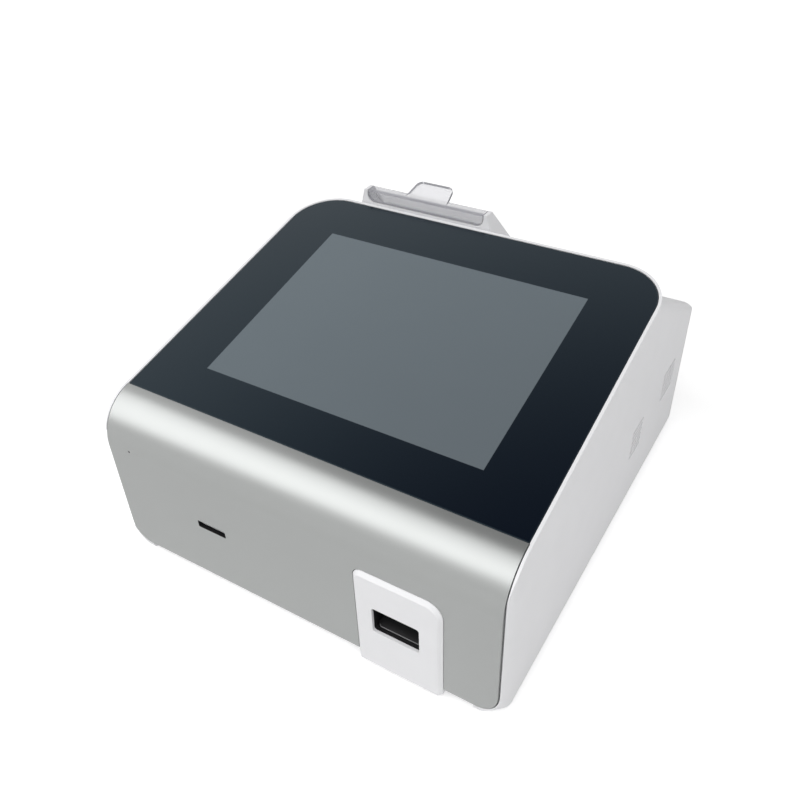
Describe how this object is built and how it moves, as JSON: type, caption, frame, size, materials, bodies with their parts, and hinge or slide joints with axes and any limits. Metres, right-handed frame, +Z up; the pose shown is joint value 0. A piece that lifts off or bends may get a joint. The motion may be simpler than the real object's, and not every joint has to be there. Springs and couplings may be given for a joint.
{
  "type": "immunoassay analyzer",
  "caption": "Desktop immunoassay reader with a sloping touch glass, a cassette slot with a sliding carriage, a card slot and a label printer behind the display.",
  "frame": {"origin": "centre of the bounding box at the feet's undersides", "axes": "+Z up, -Y towards the operator, +X to the operator's right"},
  "size_m": [0.233, 0.2744, 0.1547],
  "materials": {
    "white_shell": "fine satin texture",
    "silver": "silver paint, satin",
    "black_glass": "gloss, printed black behind",
    "screen": "screen under glass, unlit",
    "black_plastic": "satin",
    "grey_plastic": "satin",
    "dark_grey_plastic": "satin",
    "clear_plastic": "clear, smoke tint",
    "sheet_steel": "zinc-plated sheet",
    "screw_steel": "plated",
    "polished_steel": "ground and polished",
    "motor_steel": "grey can",
    "aluminium": "bead-blasted",
    "brass": "machined",
    "rubber": "matte black",
    "lens_glass": "polished",
    "circuit_board": "green laminate",
    "connector_shell": "plated shell",
    "paper": "thermal paper"
  },
  "bodies": {
    "cassette_carriage": {"carriage_tray": "grey_plastic", "slider_block": "grey_plastic", "screw_nut": "brass"},
    "lead_screw": {"lead_screw": "polished_steel"},
    "power_rocker": {"power_rocker": "black_plastic"},
    "printer_door": {"printer_door": "clear_plastic", "platen_bracket": "dark_grey_plastic"},
    "platen_roller": {"platen_roller": "rubber"},
    "paper_roll": {"paper_roll": "paper"},
    "analyzer_body": {"base_plate": "sheet_steel", "base_screws": "screw_steel", "board_spacers": "brass", "card_socket": "black_plastic", "cassette_bezel": "white_shell", "cassette_guide": "black_plastic", "display_frame": "sheet_steel", "display_screws": "screw_steel", "door_pins": "polished_steel", "front_cover": "silver", "guide_rods": "polished_steel", "head_bridge": "aluminium", "housing": "white_shell", "io_board": "circuit_board", "lcd_module": "screen", "main_board": "circuit_board", "network_socket": "connector_shell", "objective_lens": "lens_glass", "optical_head": "black_plastic", "paper_cradle": "dark_grey_plastic", "paper_spindle": "grey_plastic", "power_inlet": "black_plastic", "power_supply": "circuit_board", "printer_pod": "white_shell", "rear_panel": "sheet_steel", "rocker_frame": "black_plastic", "rubber_feet": "rubber", "sensor_board": "circuit_board", "serial_socket": "connector_shell", "thermal_head": "aluminium", "touch_glass": "black_glass", "transport_bed": "aluminium", "transport_motor": "motor_steel", "usb_socket": "connector_shell"}
  },
  "joints": [
    {"name": "carriage_slide", "type": "slide", "parent": "analyzer_body", "child": "cassette_carriage", "axis": [0, 1, 0], "range_m": [0, 0.06]},
    {"name": "lead_screw_turn", "type": "hinge", "parent": "analyzer_body", "child": "lead_screw", "pos_m": [0.0623, 0, 0.018], "axis": [0, 1, 0], "range_deg": [0, 2701]},
    {"name": "power_rocker_tilt", "type": "hinge", "parent": "analyzer_body", "child": "power_rocker", "pos_m": [0.03, 0.1339, 0.0395], "axis": [1, 0, 0], "range_deg": [0, 20]},
    {"name": "printer_door_hinge", "type": "hinge", "parent": "analyzer_body", "child": "printer_door", "pos_m": [-0.0375, 0.09652, 0.10789], "axis": [-1, 0, 0], "range_deg": [0, 75]},
    {"name": "platen_spin", "type": "hinge", "parent": "printer_door", "child": "platen_roller", "pos_m": [-0.041, 0.077, 0.12898], "axis": [1, 0, 0], "continuous": true},
    {"name": "paper_roll_spin", "type": "hinge", "parent": "analyzer_body", "child": "paper_roll", "pos_m": [-0.041, 0.0855, 0.09486], "axis": [1, 0, 0], "continuous": true}
  ],
  "couplings": [
    {"joint": "lead_screw_turn", "follows": "carriage_slide", "rad_per_m": 785.4}
  ]
}
